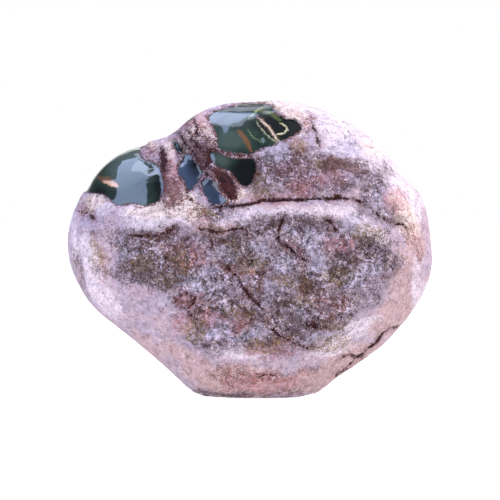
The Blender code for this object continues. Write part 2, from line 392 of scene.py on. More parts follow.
STAINS: dict[Stain, tuple[Shape, ...]] = {
    Stain.PALE_AND_HIGHLIGHT: (
        # Pale rind, with painted highlight: the two trails and the spots along z 95 to 107 lay a
        # bright band on the shoulder under the seam, and the long spots on the left, right and
        # lower rims brighten those rims.
        Trail(((-15.5, 104), (6.5, 103.5), (27.5, 103), (49.5, 103), (61.5, 98), (74, 89.5)), 6),
        Trail(((56, 97), (67, 91.5), (74.5, 86.5)), 8.8),
        Trail(((-3.5, 59.5), (1, 54), (6.5, 47.5)), 2.2),
        *spots(
            (-38.5, 102, 12, 6), (-54, 95, 11, 4.5), (-55, 100.5, 16, 4.5), (-62, 104, 9, 3),
            (-82, 106.5, 7.5, 4.5), (41, 157.5, 18.5, 5, -18), (56, 136.5, 16.5, 10, -30),
            (76.5, 126.5, 7.5, 18.5, 28), (86.5, 109, 6.5, 14, 22), (-19.5, 154, 2.5, 3.5),
            (47, 148.5, 12, 7.5, -15), (56, 36.5, 16.5, 4.5, 30), (44, 26, 12, 3.5, 15),
            (-5.5, 26, 14, 5.5), (-15.5, 51.5, 5, 3.5), (7, 84, 5.5, 5), (-55.5, 79.5, 3.5, 2.5),
            (-33, 70.5, 4.5, 2.5, -30), (-87.5, 75, 4.5, 16.5, 8), (-79.5, 54, 12, 5.5, -48),
            (-96, 87, 2, 14), (93, 54, 3.5, 22, 5), (-2.5, 99, 12, 5), (-13, 100.5, 7.5, 4.5),
        ),
    ),
    Stain.CREAM: spots(
        (-44, 104.5, 15, 5), (-56, 103, 10, 3.5), (-39, 138.5, 4, 3), (-33.5, 110, 6, 4.5),
        (-84.5, 109, 6.5, 3.5, -10), (12, 161.5, 12, 3.5, -8), (22, 157.5, 9, 4.5, -25),
        (28, 148.5, 3.5, 4), (-29.5, 102.5, 6.5, 5), (-10, 111, 7.5, 4),
        (67, 136.5, 5.5, 4.5, -30), (-44, 137, 4.5, 6), (-29.5, 148.5, 5.5, 8.5),
        (-24, 143.5, 4, 4), (-30, 141.5, 4.5, 4), (-35.5, 141, 2, 4.5, 20), (-43, 112, 3, 5),
        (-55, 139.5, 5.5, 2.5, -25), (-30.5, 157.5, 4.5, 3.5), (83.5, 101.5, 5.5, 13, 25),
    ),
    Stain.SALMON: spots(
        (91, 88, 5.5, 14, 8), (86.5, 62.5, 10, 19.5, 14), (76.5, 44, 13, 9, 32),
        (56, 20.5, 24, 8, 24), (36, 9.5, 22, 6.5, 8), (58.5, 140.5, 5.5, 5, -40),
        (67, 135.5, 5, 4.5, -30), (-5.5, 9, 25, 9), (-27.5, 15, 12, 6.5, -30),
        (-83.5, 75, 4.5, 11, 10), (-55, 29, 12, 4, -34), (16.5, 106.5, 23, 1.5),
        (-19, 93.5, 11, 5.5), (-40.5, 26, 11, 4.5, -30), (40.5, 62.5, 7.5, 5),
        (46.5, 54, 11, 5, -20),
    ),
    Stain.DIRT: (
        HOLLOW,
        *spots(
            (22, 125, 24, 11, 8), (48, 117.5, 16, 5, 12), (67, 114.5, 5, 13, -28),
            (75.5, 101, 7.5, 4, -35), (-30, 131, 8, 12.5), (-19, 102.5, 9, 4),
            (-16.5, 32.5, 14, 7.5), (-17.5, 1.5, 16, 2),
        ),
    ),
    Stain.ASH: spots(
        (-61.5, 84, 6.5, 3.5), (-23, 84, 4, 6.5), (4.5, 81.5, 6.5, 5.5), (-11, 78.5, 5, 5),
        (33, 86, 7.5, 7.5), (19, 75, 7.5, 5.5), (37.5, 75, 6.5, 6.5), (-5.5, 66.5, 5, 3.5, -40),
        (14, 61, 6.5, 5), (-24, 56.5, 5, 4), (22, 90.5, 3.5, 3.5), (58, 65, 5.5, 4.5),
        (27.5, 49, 3.5, 6.5), (6.5, 53, 5.5, 3.5), (-14, 59.5, 10, 4), (-29.5, 62.5, 11, 5, -15),
        (-45, 54, 7, 5, -30), (-52, 83.5, 3, 2), (-68, 79, 2.4, 3), (-18, 38, 9, 6),
        (-4, 34, 10, 4), (11, 135.5, 6, 4.5), (18, 136.5, 5.5, 4.5), (52, 136.5, 7.5, 4.5),
        (56, 95, 6.5, 5, -25), (37.5, 32.5, 9, 2.5, 12), (70, 109, 5, 9, -25),
        (66, 70.5, 6.5, 4.5), (-21, 70.5, 5.5, 3.5),
    ),
    Stain.PINK: spots(
        (-7, 40, 4.5, 3.5), (-15.5, 44.5, 5, 2.5), (23, 125.5, 10, 5), (44, 120, 9, 4.5),
        (27.5, 116.5, 9, 4.5), (-27.5, 79.5, 4.5, 5.5), (79.5, 109, 6.5, 5.5, -30),
        (11, 110.5, 11, 2.5), (-33, 54, 7.5, 4.5), (-37, 42, 4.5, 6.5), (-23, 43, 6, 5),
        (11, 27, 13, 4.5), (0, 70.5, 5.5, 3.5), (49.5, 84.5, 9, 4.5), (8, 8, 22, 5),
        (-11.5, 115, 2.5, 5.5, 20), (-27, 133, 2.2, 8, 38), (-29.5, 153, 4.5, 4.5),
        (-43, 121, 4.5, 12),
    ),
    Stain.OCHRE: spots(
        (26, 137.5, 4, 4), (42, 128, 7, 3.5), (4.5, 121, 3.5, 5, 10), (6.5, 114.5, 5, 2.5),
        (10, 159.5, 5, 2.5, -20), (-89, 106, 2.5, 3.5), (-84, 79.5, 4, 6.5),
        (-46.5, 65, 6.5, 2.5), (-60, 73, 8, 4), (-39.5, 77.5, 4.5, 4.5), (-36.5, 72, 3.5, 3.5),
        (29.5, 62, 4.5, 5), (44, 42.5, 3.5, 2.5), (48, 40, 4.5, 2), (48, 67, 7.5, 4.5),
        (63.5, 91.5, 7.5, 3.5), (0, 75, 7.5, 4.5), (17.5, 65, 4.5, 3.5), (44, 29.5, 11, 3.5, 10),
        (10, 29.5, 11, 3.5, 10), (27.5, 54, 5.5, 4), (-29.5, 38, 5.5, 6.5),
        (-5.5, 47.5, 7.5, 2.5), (-10, 84, 4, 4.5), (-23, 102.5, 4.5, 2),
    ),
    Stain.RUST: spots(
        (24, 81.5, 5, 4, -30), (28.5, 76, 4.5, 3.5, -30), (21, 85, 3.5, 2.5),
        (-15.5, 73, 4, 2, -30), (-7.5, 69.5, 4, 2, -40), (41, 50, 4.5, 5.5, 20),
        (49.5, 52.5, 5, 3.5, 20), (37.5, 38, 3.5, 2), (56, 76, 2.5, 2.5), (31, 58.5, 4.5, 4.5),
        (-34.5, 152.5, 2.5, 5, -30), (-24.5, 139, 4.5, 4.5), (-21, 147.5, 2, 5),
        (-27, 145.5, 3.5, 4.5), (-37.5, 112, 4, 6), (-45.8, 121, 3.2, 12), (-55, 136.5, 4, 4),
        (-80, 122, 3.5, 2, -20), (26.5, 136.5, 2.5, 3.5), (33, 152, 3.5, 4.5),
        (22, 142, 5, 2, -25), (-11, 12.5, 9, 4), (13.5, 11.5, 12, 2, 6),
        (27.5, 13.5, 7.5, 1.5, 12), (-55, 85.5, 7.5, 3.5), (-35.5, 76, 6.5, 6.5),
        (-40.5, 81.5, 5.5, 4.5), (-29.5, 100.5, 5.5, 3.5), (-24, 52, 3.5, 4.5, 10),
        (-40.5, 54, 5, 2, -30), (-89, 102.5, 4.5, 2.5, -30), (89, 88, 2, 5, 12),
        (92, 81.5, 2, 5, 10), (-7, 57.5, 5.5, 3.5), (-19, 87, 4.5, 2.5), (-45, 91.5, 4, 2, 20),
        (-2, 43.5, 4.5, 3.5), (30, 114.5, 5.5, 2.5),
    ),
    Stain.DARK: (
        # Dark stains, with painted shade in part: the three trails and the spots near z 87 to 98
        # darken the hollow's top lip under the shoulder, and the spots about (-60, 72) darken the
        # small carved hollow in its left part.
        Trail(((-63.5, 89), (-56, 89), (-49, 90), (-44.5, 92), (-40.5, 95.5)), 1.9),
        Trail(((-50.5, 89.5), (-44, 92.5)), 2.2),
        Trail(((-27, 93), (-20.5, 92), (-16, 91), (-9.5, 92.5), (-4, 92.5), (-0.5, 87.5)), 1.4),
        Trail(((62.5, 125.5), (67, 119), (70, 111)), 2.7), Trail(((10, 75), (6.5, 68)), 1.6),
        *spots(
            (-56.5, 72, 16, 6.4, 4), (-65, 72, 5.5, 5), (-44, 69.5, 7.5, 3.5, -20),
            (-60.5, 81.5, 6.5, 3.5, -15), (-15.5, 89.5, 9, 4.5), (-20.5, 91.5, 4, 5),
            (-5.5, 87, 5, 4.5), (52, 129, 10.5, 3.8, 2), (43, 127, 6, 2.6, -3),
            (49.5, 118, 5, 2.4), (12, 98.5, 9, 3.5), (6.5, 95.5, 5.5, 3.5, 20),
            (30.5, 96.5, 9, 5), (41.5, 97, 5, 4, -40), (67, 84.5, 7.5, 6),
            (74.5, 89.5, 5, 2.5, -30), (50, 75, 7.5, 5, 30), (53.5, 68, 2.5, 4.5),
            (22, 47.5, 9, 5), (29, 38, 13, 5, 15), (16.5, 54, 5.5, 5), (3.5, 57.5, 2.5, 5, -10),
            (28.5, 65, 5, 3.5), (33, 64, 4, 5.5), (-15.5, 47, 4.5, 1.5, -25),
            (-4.5, 77.5, 7.5, 5), (-49.5, 64, 12, 2.5), (14, 126.5, 10, 4.5),
            (27.5, 127.5, 6.5, 5.5), (6.5, 132, 5, 3.5), (19, 121, 7, 2.4), (4.5, 124.5, 2, 6.5),
            (-48, 128, 2, 9), (-34, 136.5, 5, 2, -40), (-93, 68, 1.5, 7.5, 18),
            (-95.5, 75, 1.5, 5.5, 12), (-84.5, 91, 3.5, 1.5), (-76.5, 68, 9, 2.5, -20),
            (-71, 87, 4.5, 5.5),
        ),
    ),
    Stain.BROWN: (
        # The trail along the foot is painted shade: it darkens the bottom edge, where the stone
        # curves under.
        BAND, Trail(((-38, 3.4), (-15, 1.2), (8, 1), (28, 2.8)), 1.6),
        *spots(
            (49.5, 128.8, 11, 5, 6), (57.5, 127, 6.5, 3.6, -14), (-46.8, 120, 2.6, 12),
            (-41.5, 115, 3, 8), (27.5, 80.5, 3.4, 3.6), (-40.5, 108.8, 6.5, 3, 10),
            (-22, 138.5, 3.5, 5, 20), (-20.5, 147, 1.6, 6), (-54, 135, 3.5, 2.6, -30),
            (-33.5, 152, 2, 4, -30),
        ),
    ),
    Stain.MAROON: (
        Trail(((-39, 146), (-33.5, 138), (-27.5, 130), (-21.5, 121.5)), 1.5),
        Trail(((-34.5, 147), (-29.5, 139.8), (-25, 134), (-22, 127.5), (-17, 122)), 2), TONGUE,
        Trail(((-21.5, 137), (-15.5, 135.3), (-9.5, 133.5), (0.5, 133.3)), 2.2),
        Trail(((-23.5, 136.5), (-22.5, 128), (-18.5, 123.5)), 2.2),
        Trail(((-31, 154.5), (-29.5, 148.5), (-28.5, 143)), 1.4),
        Trail(((-18.5, 152), (-17, 144.5), (-18, 137.5)), 1.6),
        Trail(((-18, 101), (-16, 104.5), (-12, 106.5)), 1.2),
        *spots(
            (-22.8, 130.4, 2, 4.6, -8), (-47.5, 131, 2, 7.5), (48, 110.4, 3.4, 1.5),
            (34.5, 40, 3.5, 1.5),
        ),
    ),
    Stain.JADE: (*WINDOWS, SLIT),
    # Milky jade, with painted sheen: the spots in the dark and top windows stand for a weak
    # reflection of the softboxes there; the spot in the left window is milky jade.
    Stain.MILK_AND_SHEEN: spots((-10, 141.5, 9, 5.5), (-15.5, 131, 5, 3.2, -20), (-66, 128, 16, 9, 45)),
    # Painted reflection: a slate-blue tint in the middle and low windows that stands for the blue
    # left softbox mirrored in them.
    Stain.SLATE_REFLECTION: spots((-34, 123, 6, 9), (-20, 113, 8, 8)),
    Stain.INK: (
        SLIT,
        *spots(
            (16, 149, 14, 7.5, -18), (-1, 123.5, 10.5, 10.5), (-82, 113.5, 4.5, 4),
            (-49, 117, 3, 12), (-30, 129, 3, 5), (-23.5, 118.5, 3, 1.2),
        ),
    ),
}

BACK_STAINS: dict[Stain, tuple[Shape, ...]] = {
    Stain.PALE_AND_HIGHLIGHT: spots((40, 118, 30, 14, 20), (-60, 100, 22, 12, -30), (4, 40, 40, 9, 8)),
    Stain.SALMON: spots((-70, 52, 20, 12, 30), (72, 52, 16, 20), (10, 12, 44, 8)),
    Stain.CREAM: spots((20, 148, 26, 7, -8), (-30, 128, 14, 6, 24)),
    Stain.DIRT: spots((14, 84, 46, 20, 12), (-34, 66, 26, 16, -18), (-16, 132, 17, 10)),
    Stain.ASH: spots((30, 78, 12, 6), (-22, 58, 9, 6), (-6, 96, 10, 5)),
    Stain.PINK: spots((-52, 78, 14, 8), (52, 98, 12, 6)),
    Stain.OCHRE: spots((44, 70, 9, 6), (-12, 74, 8, 5), (-44, 34, 10, 5)),
    Stain.RUST: spots((6, 88, 10, 5, -20), (-38, 62, 7, 5), (60, 84, 8, 4)),
    Stain.DARK: spots((20, 92, 14, 4, 10), (-26, 70, 12, 4.5, -14), (-14, 130, 9, 4)),
    Stain.MAROON: (Trail(((70, 97), (36, 93.5), (2, 73), (-34, 69)), 2.4),),
}
BACK_CRACKS = (
    Crack(((97, 88), (70, 96), (36, 92), (2, 72), (-34, 68)), 1.8, 1.2),
    Crack(((-20, 158), (-10, 128), (-26, 104)), 1.4, 0.9),
)


def seen_places(points: Array) -> Array:
    """Where the camera sees each point against the upright plane through the middle.

    Args:
        points: The points, one row each.

    Returns:
        The places (x, z), one row each.
    """
    reach = EYE.y / (EYE.y - points[:, 1])
    x = EYE.x + (points[:, 0] - EYE.x) * reach
    z = EYE.z + (points[:, 2] - EYE.z) * reach
    return np.column_stack([x, z + FOOT_DROP])


def lumps(points: Array, size: float, seed: float = 0.0) -> Array:
    """Smooth random values about 0, the same at every run.

    Args:
        points: Where the values are needed, one row each.
        size: The size of a lump.
        seed: Another number gives another pattern.

    Returns:
        One value for each point.
    """
    shift = Vector((seed, 1.7 * seed, -seed))
    return np.array([noise.noise(Vector(point) / size + shift) for point in points])


def read(mesh: bpy.types.Mesh, source: str, name: str, width: int = 3) -> Array:
    """One value or vector of every vertex, face or normal of a mesh, as an array.

    Args:
        mesh: The mesh to read.
        source: The mesh's collection, such as vertices.
        name: The property of each of its items.
        width: How many numbers each item has.

    Returns:
        The values, one row for each item.
    """
    items = getattr(mesh, source)
    found = np.zeros(len(items) * width)
    items.foreach_get(name, found)
    return found.reshape(-1, width)


@dataclass
class Boulder:
    """The stone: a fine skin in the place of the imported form, carved, marked and dressed."""

    body: str = "root"
    node: str = "boulder"
    slot: str = "jade_stone"
    cell: float = 2.9  # the even skin's cells, before they are split
    smoothing: int = 8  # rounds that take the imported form's flat facets away
    window_smoothing: int = 60  # rounds that calm the ground under the windows
    window_step: float = 1.0  # how far the polished jade lies below the rind's edge
    polish_edge: Place = (-2.1, -0.4)  # the field's values where the polish starts and is whole
    fall_depth: float = 1.7  # how deep the left window's right side falls away
    fall_width: float = 4.5
    rough_height: float = 1.3  # the coarse relief of the hollow
    fine_margin: float = 2.2  # how far round cracks and windows the skin is finest
    back_softness: float = 0.45  # below 1 the back's stains are vaguer, with stray flecks between
    seed: int = 7  # of the shifts that make drawn lines wander

    def build(self) -> bpy.types.Object:
        """Makes the finished stone.

        Returns:
            The stone's object.
        """
        noise.seed_set(self.seed)
        skin = self.skin()
        self.calm_windows(skin)
        self.split(skin, self.front_faces(skin))
        self.carve(skin)
        self.mark(skin)
        skin.data.materials.clear()
        skin.data.materials.append(StoneFinish().material())
        bpy.ops.object.shade_smooth()
        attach(skin, self.body)
        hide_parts(self.node)
        return skin

    def skin(self) -> bpy.types.Object:
        """An even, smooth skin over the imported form, still without fine relief."""
        bpy.ops.object.select_all(action="DESELECT")
        skin = bpy.data.objects.new("jade_boulder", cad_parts[self.node].data.copy())
        bpy.context.collection.objects.link(skin)
        bpy.context.view_layer.objects.active = skin
        skin.select_set(True)
        bpy.ops.object.mode_set(mode="EDIT")
        bpy.ops.mesh.select_all(action="SELECT")
        bpy.ops.mesh.remove_doubles(threshold=0.01 * MM)
        bpy.ops.object.mode_set(mode="OBJECT")
        for kind, settings in (
            ("REMESH", {"mode": "VOXEL", "voxel_size": self.cell * MM}),
            ("SMOOTH", {"factor": 0.5, "iterations": self.smoothing}),
            ("SUBSURF", {"levels": 1, "render_levels": 1}),
        ):
            step = skin.modifiers.new(kind.lower(), kind)
            for name, value in settings.items():
                setattr(step, name, value)
            bpy.ops.object.modifier_apply(modifier=step.name)
        return skin

    def faces(self, skin: bpy.types.Object) -> tuple[Array, Array]:
        """Where each face of the skin is seen, and how far it faces the camera, from -1 to 1."""
        middles = read(skin.data, "polygons", "center") / MM
        return seen_places(middles), -read(skin.data, "polygons", "normal")[:, 1]

    def calm_windows(self, skin: bpy.types.Object) -> None:
        """Smooths the ground under the windows, so that the polish mirrors in calm shapes."""
        places, facing = self.faces(skin)
        self.select(skin, (field(WINDOWS, places) > -1.0) & (facing > -0.3))
        bpy.ops.object.mode_set(mode="EDIT")
        bpy.ops.mesh.vertices_smooth(factor=0.5, repeat=self.window_smoothing)
        bpy.ops.object.mode_set(mode="OBJECT")

    def select(self, skin: bpy.types.Object, chosen: Array) -> None:
        """Selects faces of the skin."""
        mesh = skin.data
        mesh.vertices.foreach_set("select", np.zeros(len(mesh.vertices), bool))
        mesh.edges.foreach_set("select", np.zeros(len(mesh.edges), bool))
        mesh.polygons.foreach_set("select", chosen)
        bpy.context.tool_settings.mesh_select_mode = (False, False, True)

    def front_faces(self, skin: bpy.types.Object) -> Array:
        """Marks the faces that carry cracks, windows or other crisp marks."""
        places, facing = self.faces(skin)
        near = field(WINDOWS, places) > -self.fine_margin
        for crack in (*CRACKS, GULLY):
            near |= Trail(crack.line, crack.width).inside(places) > -self.fine_margin
        for stain in (Stain.DARK, Stain.RUST, Stain.MAROON):
            near |= field(STAINS[stain], places) > -0.5
        return near & (facing > -0.2)

    def split(self, skin: bpy.types.Object, chosen: Array) -> None:
        """Splits the chosen faces into four each and smooths them."""
        self.select(skin, chosen)
        bpy.ops.object.mode_set(mode="EDIT")
        bpy.ops.mesh.subdivide(number_cuts=1)
        bpy.ops.mesh.vertices_smooth(factor=0.5, repeat=2)
        bpy.ops.object.mode_set(mode="OBJECT")

    def carve(self, skin: bpy.types.Object) -> None:
        """Cuts the relief of windows, cracks, lumps and rough ground into the skin."""
        mesh = skin.data
        points = read(mesh, "vertices", "co") / MM
        normals = read(mesh, "vertex_normals", "vector")
        front = soft_step(-0.25, 0.05, -normals[:, 1])
        back = soft_step(0.1, 0.4, normals[:, 1])
        places = self.wobbled(points)
        height = front * self.front_relief(points, places)
        behind = points[:, [0, 2]] + (0.0, FOOT_DROP)
        height += back * sum(self.groove(behind, crack) for crack in BACK_CRACKS)
        height += 0.12 * lumps(points, 6.0, 3.0)
        points = points + height[:, None] * normals
        foot = (points[:, 2] < 0.7) & (normals[:, 2] < -0.7)
        points[foot | (points[:, 2] < 0.0), 2] = 0.0
        mesh.vertices.foreach_set("co", (points * MM).ravel())
        mesh.update()

    def wobbled(self, points: Array) -> Array:
        """The seen places of points, shifted a little so that no drawn line runs too smoothly."""
        places = seen_places(points)
        shift = [noise.noise_vector(Vector(point) / 3.6) for point in points]
        fine = [noise.noise_vector(Vector(point) / 1.5) for point in points]
        return places + 0.75 * np.array(shift)[:, [0, 2]] + 0.3 * np.array(fine)[:, [0, 2]]

    def wandering(self, points: Array) -> Array:
        """The seen places of points, shifted further, for the outlines of stains."""
        wide = [noise.noise_vector(Vector(point) / 9.0) for point in points]
        return self.wobbled(points) + 3.0 * np.array(wide)[:, [0, 2]]

    def groove(self, places: Array, crack: Crack) -> Array:
        """The depth, as a negative height, that a crack cuts at each place."""
        line = smooth_line(crack.line, closed=False)
        depth = np.zeros(len(places))
        near = beside(places, line)
        distance, along = line_distance(places[near], line)
        width = crack.width * (0.5 + 0.5 * np.sin(math.pi * along) ** 0.5)
        depth[near] = -crack.depth * np.exp(-((2.0 * distance / width) ** 2))
        return depth

    def front_relief(self, points: Array, places: Array) -> Array:
        """The height of the front's own relief at each point."""
        height = sum(rise * spot.dome(places) for spot, rise in SWELLS)
        windows = field(WINDOWS, places)
        polish = soft_step(*self.polish_edge, windows)
        rough = soft_step(-1.0, 4.0, field((HOLLOW,), places))
        worn = soft_step(-4.0, 0.0, field(STAINS[Stain.DIRT], places)) * 0.45
        coarse = np.maximum(rough, worn) * (1.0 - soft_step(-1.5, 0.5, windows))
        rubble = 0.9 * lumps(points, 5.2) + 0.55 * lumps(points, 2.3, 7.0)
        height += coarse * self.rough_height * rubble
        height += (1.0 - polish) * 0.1 * lumps(points, 2.6, 5.0)
        cuts = sum(self.groove(places, crack) for crack in (*CRACKS, GULLY))
        height += cuts * (1.0 - polish)
        gap, _ = line_distance(places, smooth_line(WINDOW_FALL, closed=False))
        height -= self.fall_depth * np.exp(-((gap / self.fall_width) ** 2)) * polish
        return height - self.window_step * polish

    def mark(self, skin: bpy.types.Object) -> None:
        """Writes the fields that the finish reads: each stain and patch of painted light, the
        cracks and the seen places.
        """
        mesh = skin.data
        points = read(mesh, "vertices", "co") / MM
        normals = read(mesh, "vertex_normals", "vector")
        exact = seen_places(points)
        places = self.wobbled(points)
        wide = self.wandering(points)
        behind = points[:, [0, 2]] + (0.0, FOOT_DROP) + 2.0 * (wide - exact)
        facing = normals[:, 1] + 0.35 * lumps(points, 16.0, 9.0)
        turned = soft_step(0.0, 0.5, facing) * 2.0 * FIELD_REACH
        fronted = 2.0 * FIELD_REACH * (1.0 - soft_step(-0.45, 0.1, facing))
        for stain in Stain:
            crisp = stain in (Stain.JADE, Stain.MILK_AND_SHEEN, Stain.SLATE_REFLECTION, Stain.INK)
            near = exact if crisp else places if stain is Stain.MAROON else wide
            depth = field(STAINS[stain], near) - turned
            patch = self.back_softness * field(BACK_STAINS.get(stain, ()), behind)
            self.write(mesh, stain.value, np.maximum(depth, patch - fronted))
        crack = np.full(len(points), -FIELD_REACH)
        for one in CRACKS:
            crack = np.maximum(crack, Trail(one.line, one.width).inside(places) - turned)
        for one in BACK_CRACKS:
            crack = np.maximum(crack, Trail(one.line, one.width).inside(behind) - fronted)
        self.write(mesh, "crack", crack)
        seen = mesh.attributes.new("seen", "FLOAT_VECTOR", "POINT")
        flat = np.column_stack([exact, np.zeros(len(exact))])
        seen.data.foreach_set("vector", flat.ravel())

    def write(self, mesh: bpy.types.Mesh, name: str, values: Array) -> None:
        """Stores one number for each of a mesh's points."""
        attribute = mesh.attributes.new(name, "FLOAT", "POINT")
        attribute.data.foreach_set("value", values)


def tone(red: float, green: float, blue: float) -> Colour:
    """A colour, given as it looks on a screen from 0 to 255, for the shader."""

    def linear(value: float) -> float:
        """One channel as light."""
        share = value / 255.0
        return share / 12.92 if share <= 0.04045 else ((share + 0.055) / 1.055) ** 2.4

    return (linear(red), linear(green), linear(blue), 1.0)


class Graph:
    """Fills a node tree by short calls, each of which returns the new node's output."""

    def __init__(self, tree: Tree) -> None:
        """Works on a tree, which may already hold nodes."""
        self.tree = tree

    def node(self, kind: str, **settings: object) -> bpy.types.Node:
        """Adds a node of a kind and sets its properties."""
        made = self.tree.nodes.new(kind)
        for name, value in settings.items():
            setattr(made, name, value)
        return made

    def feed(self, socket: Socket, value: object) -> None:
        """Links a socket to an output, or sets its value."""
        if isinstance(value, Socket):
            self.tree.links.new(value, socket)
        else:
            socket.default_value = value

    def math(self, operation: str, *values: object) -> Socket:
        """A sum on numbers."""
        made = self.node("ShaderNodeMath", operation=operation)
        for socket, value in zip(made.inputs, values):
            self.feed(socket, value)
        return made.outputs[0]

    def vector(self, operation: str, *values: object, output: int = 0) -> Socket:
        """A sum on vectors."""
        made = self.node("ShaderNodeVectorMath", operation=operation)
        for socket, value in zip(made.inputs, values):
            self.feed(socket, value)
        return made.outputs[output]

    def step(self, low: object, high: object, value: object) -> Socket:
        """An S-curve from 0 at low to 1 at high."""
        made = self.node("ShaderNodeMapRange", interpolation_type="SMOOTHSTEP")
        self.feed(made.inputs["Value"], value)
        self.feed(made.inputs["From Min"], low)
        self.feed(made.inputs["From Max"], high)
        return made.outputs[0]

    def span(self, low: float, high: float, value: object) -> Socket:
        """Spreads values from 0 to 1 over low to high."""
        made = self.node("ShaderNodeMapRange")
        self.feed(made.inputs["Value"], value)
        self.feed(made.inputs["To Min"], low)
        self.feed(made.inputs["To Max"], high)
        return made.outputs[0]

    def mix(self, share: object, first: object, second: object, blend: str = "MIX") -> Socket:
        """A mix of two colours."""
        made = self.node("ShaderNodeMix", data_type="RGBA", blend_type=blend)
        self.feed(made.inputs[0], share)
        self.feed(made.inputs[6], first)
        self.feed(made.inputs[7], second)
        return made.outputs[2]

    def blend(self, share: object, first: object, second: object) -> Socket:
        """A mix of two numbers."""
        made = self.node("ShaderNodeMix", data_type="FLOAT")
        self.feed(made.inputs[0], share)
        self.feed(made.inputs[2], first)
        self.feed(made.inputs[3], second)
        return made.outputs[0]

    def noise(self, place: object, size: float, detail: float, rough: float) -> bpy.types.Node:
        """A cloudy pattern, with the size of its lumps in millimetres."""
        made = self.node("ShaderNodeTexNoise")
        self.feed(made.inputs["Vector"], place)
        self.feed(made.inputs["Scale"], 1.0 / size)
        self.feed(made.inputs["Detail"], detail)
        self.feed(made.inputs["Roughness"], rough)
        return made

    def three(self, colour: Socket) -> list[Socket]:
        """The three channels of a colour, as numbers."""
        made = self.node("ShaderNodeSeparateColor")
        self.feed(made.inputs[0], colour)
        return list(made.outputs)

    def part(self, vector: Socket, axis: str) -> Socket:
        """One part of a vector: X, Y or Z."""
        made = self.node("ShaderNodeSeparateXYZ")
        self.feed(made.inputs[0], vector)
        return made.outputs[axis]

    def join(self, parts: list[Socket]) -> Socket:
        """A vector of three numbers."""
        made = self.node("ShaderNodeCombineXYZ")
        for socket, value in zip(made.inputs, parts):
            self.feed(socket, value)
        return made.outputs[0]

    def attribute(self, name: str, output: str = "Fac") -> Socket:
        """A field of the skin."""
        return self.node("ShaderNodeAttribute", attribute_name=name).outputs[output]

    def group(self, tree: Tree, **values: object) -> bpy.types.Node:
        """Places a node group, with values or links for its inputs."""
        made = self.node("ShaderNodeGroup", node_tree=tree)
        for name, value in values.items():
            self.feed(made.inputs[name], value)
        return made


def group_tree(
    name: str, inputs: tuple[tuple[str, str], ...], outputs: tuple[tuple[str, str], ...]
) -> tuple[Tree, Graph, dict[str, Socket], bpy.types.Node]:
    """An empty shader node group with named sockets.

    Args:
        name: The group's name.
        inputs: The name and type of each input.
        outputs: The name and type of each output.

    Returns:
        The group, its graph, its inputs by name and its output node.
    """
    tree = bpy.data.node_groups.new(name, "ShaderNodeTree")
    for direction, sockets in (("INPUT", inputs), ("OUTPUT", outputs)):
        for label, kind in sockets:
            tree.interface.new_socket(label, in_out=direction, socket_type=f"NodeSocket{kind}")
    graph = Graph(tree)
    start = graph.node("NodeGroupInput")
    end = graph.node("NodeGroupOutput")
    return tree, graph, {label: start.outputs[label] for label, _ in inputs}, end


def stain_group() -> Tree:
    """The group that turns a field into a mask with a ragged and grainy edge."""
    sockets = (
        ("Field", "Float"),
        ("Cap", "Float"),
        ("Ragged", "Float"),
        ("Grainy", "Float"),
        ("Soft", "Float"),
        ("Clouds", "Float"),
        ("Grains", "Float"),
    )
    tree, graph, given, end = group_tree("stain_edge", sockets, (("Mask", "Float"),))
    reach = graph.math("MINIMUM", given["Field"], given["Cap"])
    for pattern, size in (("Clouds", "Ragged"), ("Grains", "Grainy")):
        push = graph.math("SUBTRACT", given[pattern], 0.5)
        reach = graph.math("ADD", reach, graph.math("MULTIPLY", push, given[size]))
    low = graph.math("MULTIPLY", given["Soft"], -1.0)
    graph.feed(end.inputs[0], graph.step(low, given["Soft"], reach))
    return tree


def fleck_group() -> Tree:
    """The group for irregular little flecks, with their size and how much they cover."""
    sockets = (("Place", "Vector"), ("Size", "Float"), ("Cover", "Float"), ("Soft", "Float"))
    tree, graph, given, end = group_tree("flecks", sockets, (("Mask", "Float"),))
    pattern = graph.noise(given["Place"], 1.0, 4.0, 0.7)
    graph.feed(pattern.inputs["Scale"], graph.math("DIVIDE", 1.0, given["Size"]))
    cut = graph.math("SUBTRACT", 0.7, graph.math("MULTIPLY", given["Cover"], 0.25))
    top = graph.math("ADD", cut, given["Soft"])
    graph.feed(end.inputs[0], graph.step(cut, top, pattern.outputs["Fac"]))
    return tree


def vein_group() -> Tree:
    """The group for a net of thin branching lines."""
    sockets = (("Place", "Vector"), ("Size", "Float"), ("Width", "Float"))
    tree, graph, given, end = group_tree("veins", sockets, (("Mask", "Float"),))
    pattern = graph.noise(given["Place"], 1.0, 4.0, 0.6)
    graph.feed(pattern.inputs["Scale"], graph.math("DIVIDE", 1.0, given["Size"]))
    off = graph.math("ABSOLUTE", graph.math("SUBTRACT", pattern.outputs["Fac"], 0.5))
    graph.feed(end.inputs[0], graph.math("SUBTRACT", 1.0, graph.step(0.0, given["Width"], off)))
    return tree


